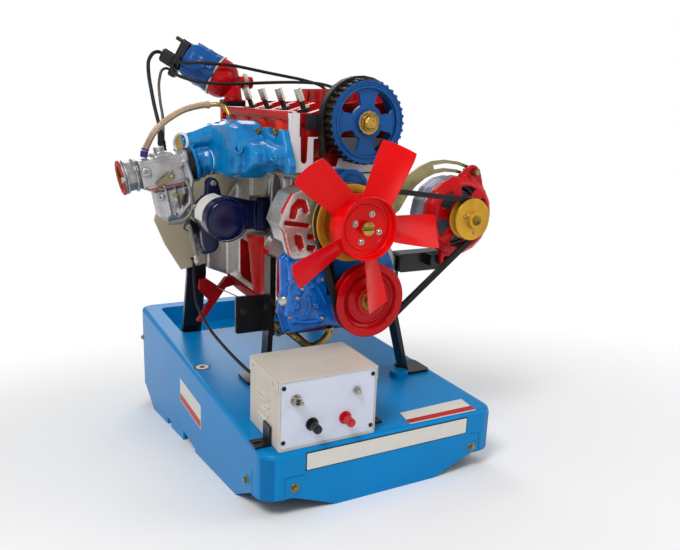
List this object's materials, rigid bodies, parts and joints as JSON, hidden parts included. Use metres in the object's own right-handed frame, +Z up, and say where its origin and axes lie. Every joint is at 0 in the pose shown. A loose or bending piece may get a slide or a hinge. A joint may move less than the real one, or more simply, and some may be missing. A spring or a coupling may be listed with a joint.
{
  "type": "sectioned engine training model",
  "caption": "Cut-away inline engine on a wedge-shaped moulded stand, with fan, belts, camshaft, carburettor, alternator and a small control box.",
  "frame": {"origin": "middle of the whole outline's footprint, on the surface that the stand's rim rests on", "axes": "+Z up; +Y runs from the control box end back to the tall end of the stand; +X to the alternator side"},
  "size_m": [0.5682, 0.8216, 0.7516],
  "materials": {
    "base_blue": "satin moulded",
    "black_steel": "satin black",
    "beige_case": "satin",
    "pale_panel": "satin",
    "lamp_steel": "polished",
    "switch_red": "glossy",
    "post_black": "glossy",
    "silver_casting": "cast, cut faces painted red",
    "machined_steel": "machined",
    "piston_alloy": "machined",
    "head_alloy": "cast, cut faces painted red",
    "valve_steel": "polished",
    "wheel_blue": "satin",
    "signal_red": "glossy",
    "fan_red": "glossy",
    "yellow_zinc": "zinc plated",
    "pump_blue": "glossy",
    "black_rubber": "matt",
    "stator_alloy": "cast",
    "pale_zinc": "zinc plated",
    "cream_plate": "satin",
    "gold_pipe": "zinc plated",
    "manifold_blue": "glossy",
    "insulator_black": "matt",
    "carburettor_alloy": "cast",
    "navy_paint": "glossy",
    "pump_black": "satin",
    "distributor_blue": "glossy",
    "cap_plastic": "glossy",
    "hose_clear": "translucent, tinted"
  },
  "bodies": {
    "stand": {"base_shell": "base_blue", "leg_front_left": "black_steel", "leg_front_right": "black_steel", "leg_rear_left": "black_steel", "leg_rear_right": "black_steel", "control_box_case": "beige_case", "control_panel": "pale_panel", "indicator_lamp": "lamp_steel", "box_bracket_left": "black_steel", "box_bracket_right": "black_steel", "engine_block": "silver_casting", "crankshaft": "machined_steel", "piston_1": "piston_alloy", "piston_2": "piston_alloy", "piston_3": "piston_alloy", "piston_4": "piston_alloy", "connecting_rod_1": "machined_steel", "connecting_rod_2": "machined_steel", "connecting_rod_3": "machined_steel", "connecting_rod_4": "machined_steel", "cylinder_head": "head_alloy", "intake_valve_1": "valve_steel", "intake_valve_2": "valve_steel", "intake_valve_3": "valve_steel", "intake_valve_4": "valve_steel", "water_pump_housing": "silver_casting", "oil_pump_cover": "pump_blue", "timing_belt": "black_rubber", "fan_belt": "black_rubber", "alternator_front_case": "signal_red", "alternator_rear_case": "stator_alloy", "alternator_arm": "pale_zinc", "oil_pan": "signal_red", "rear_plate": "cream_plate", "oil_pickup_pipe": "gold_pipe", "intake_manifold": "manifold_blue", "carburettor_insulator": "insulator_black", "carburettor": "carburettor_alloy", "oil_filter": "navy_paint", "filter_bracket": "navy_paint", "fuel_pump": "pump_black", "distributor_housing": "signal_red", "distributor_body": "distributor_blue", "distributor_cap": "cap_plastic", "plug_lead_1": "black_rubber", "plug_lead_2": "black_rubber", "fuel_hose": "hose_clear", "ignition_cable": "black_rubber", "supply_cable": "black_rubber"},
    "crank_drive": {"crank_pulley": "signal_red"},
    "camshaft": {"camshaft": "machined_steel", "cam_sprocket": "wheel_blue"},
    "fan_drive": {"fan": "fan_red", "water_pump_pulley": "yellow_zinc"},
    "tensioner": {"belt_tensioner": "wheel_blue"},
    "alternator_drive": {"alternator_pulley": "yellow_zinc"},
    "throttle": {"throttle_lever": "pale_zinc"},
    "switch_lever": {"toggle_lever": "switch_red"},
    "cap_black": {"post_cap_black": "post_black"},
    "cap_red": {"post_cap_red": "switch_red"}
  },
  "joints": [
    {"name": "crank_spin", "type": "hinge", "parent": "stand", "child": "crank_drive", "pos_m": [0.03214, -0.30546, 0.28262], "axis": [0, 0.9853, 0.1707], "continuous": true},
    {"name": "cam_spin", "type": "hinge", "parent": "stand", "child": "camshaft", "pos_m": [0.03214, -0.2938, 0.55561], "axis": [0, 0.9853, 0.1707], "continuous": true},
    {"name": "fan_spin", "type": "hinge", "parent": "stand", "child": "fan_drive", "pos_m": [-0.00586, -0.32646, 0.40381], "axis": [0, 0.9853, 0.1707], "continuous": true},
    {"name": "tensioner_spin", "type": "hinge", "parent": "stand", "child": "tensioner", "pos_m": [0.00264, -0.28527, 0.46068], "axis": [0, 0.9853, 0.1707], "continuous": true},
    {"name": "alternator_spin", "type": "hinge", "parent": "stand", "child": "alternator_drive", "pos_m": [0.21814, -0.32561, 0.39888], "axis": [0, 0.9853, 0.1707], "continuous": true},
    {"name": "throttle_turn", "type": "hinge", "parent": "stand", "child": "throttle", "pos_m": [-0.20394, -0.08013, 0.4904], "axis": [0, 0.9853, 0.1707], "range_deg": [0, 70], "stiffness_Nm_per_rad": 0.01, "springref_deg": -17.19},
    {"name": "switch_tilt", "type": "hinge", "parent": "stand", "child": "switch_lever", "pos_m": [-0.13186, -0.38941, 0.1679], "axis": [1, 0, 0], "range_deg": [0, 24]},
    {"name": "black_cap_slide", "type": "slide", "parent": "stand", "child": "cap_black", "axis": [0, -0.9853, -0.1707], "range_m": [0, 0.004]},
    {"name": "red_cap_slide", "type": "slide", "parent": "stand", "child": "cap_red", "axis": [0, -0.9853, -0.1707], "range_m": [0, 0.004]}
  ],
  "couplings": [
    {"joint": "cam_spin", "follows": "crank_spin", "ratio": 0.5},
    {"joint": "tensioner_spin", "follows": "crank_spin", "ratio": 1.2407},
    {"joint": "fan_spin", "follows": "crank_spin", "ratio": 1.0226},
    {"joint": "alternator_spin", "follows": "crank_spin", "ratio": 1.8199}
  ]
}
